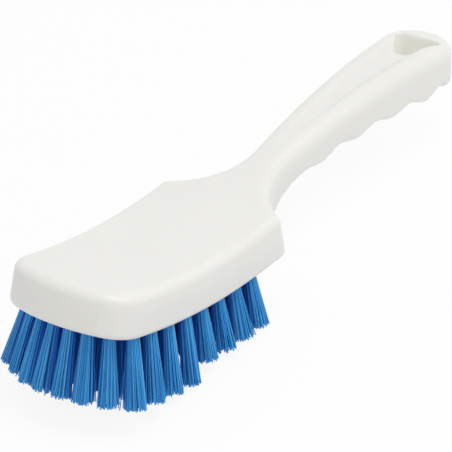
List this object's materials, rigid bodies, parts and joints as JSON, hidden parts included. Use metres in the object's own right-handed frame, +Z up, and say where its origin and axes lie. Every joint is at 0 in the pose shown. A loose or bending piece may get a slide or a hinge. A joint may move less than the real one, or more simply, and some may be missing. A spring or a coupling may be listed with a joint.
{
  "type": "scrub brush",
  "caption": "Hand scrub brush: a curved white block and finger-grooved handle moulded in one, with a hang hole, drilled underneath for flared blue bristle tufts.",
  "frame": {"origin": "middle of the brush's box, on the surface that the bristle tips stand on", "axes": "+X along the brush from the front of the head to the end of the handle, +Z up from the bristle tips to the block's smooth top, +Y across the head"},
  "size_m": [0.2822, 0.0672, 0.0583],
  "materials": {
    "white_plastic": "satin moulded polypropylene",
    "blue_bristle": "satin extruded filament",
    "staple_wire": "flat bright wire"
  },
  "bodies": {
    "root": {"block_and_handle": "white_plastic", "tuft_row1_1": "blue_bristle", "tuft_row1_2": "blue_bristle", "tuft_row1_3": "blue_bristle", "tuft_row1_4": "blue_bristle", "tuft_row1_5": "blue_bristle", "tuft_row1_6": "blue_bristle", "tuft_row1_7": "blue_bristle", "tuft_row1_8": "blue_bristle", "tuft_row2_1": "blue_bristle", "tuft_row2_2": "blue_bristle", "tuft_row2_3": "blue_bristle", "tuft_row2_4": "blue_bristle", "tuft_row2_5": "blue_bristle", "tuft_row2_6": "blue_bristle", "tuft_row3_1": "blue_bristle", "tuft_row3_2": "blue_bristle", "tuft_row3_3": "blue_bristle", "tuft_row3_4": "blue_bristle", "tuft_row3_5": "blue_bristle", "tuft_row3_6": "blue_bristle", "tuft_row3_7": "blue_bristle", "tuft_row4_1": "blue_bristle", "tuft_row4_2": "blue_bristle", "tuft_row4_3": "blue_bristle", "tuft_row4_4": "blue_bristle", "tuft_row4_5": "blue_bristle", "tuft_row4_6": "blue_bristle", "tuft_row5_1": "blue_bristle", "tuft_row5_2": "blue_bristle", "tuft_row5_3": "blue_bristle", "tuft_row5_4": "blue_bristle", "tuft_row5_5": "blue_bristle", "tuft_row5_6": "blue_bristle", "tuft_row5_7": "blue_bristle", "tuft_row6_1": "blue_bristle", "tuft_row6_2": "blue_bristle", "tuft_row6_3": "blue_bristle", "tuft_row6_4": "blue_bristle", "tuft_row6_5": "blue_bristle", "tuft_row6_6": "blue_bristle", "tuft_row7_1": "blue_bristle", "tuft_row7_2": "blue_bristle", "tuft_row7_3": "blue_bristle", "tuft_row7_4": "blue_bristle", "tuft_row7_5": "blue_bristle", "tuft_row7_6": "blue_bristle", "tuft_row7_7": "blue_bristle", "tuft_row8_1": "blue_bristle", "tuft_row8_2": "blue_bristle", "tuft_row8_3": "blue_bristle", "tuft_row8_4": "blue_bristle", "tuft_row8_5": "blue_bristle", "tuft_row8_6": "blue_bristle", "tuft_row8_7": "blue_bristle", "front_staples": "staple_wire", "rear_staples": "staple_wire"}
  },
  "joints": []
}
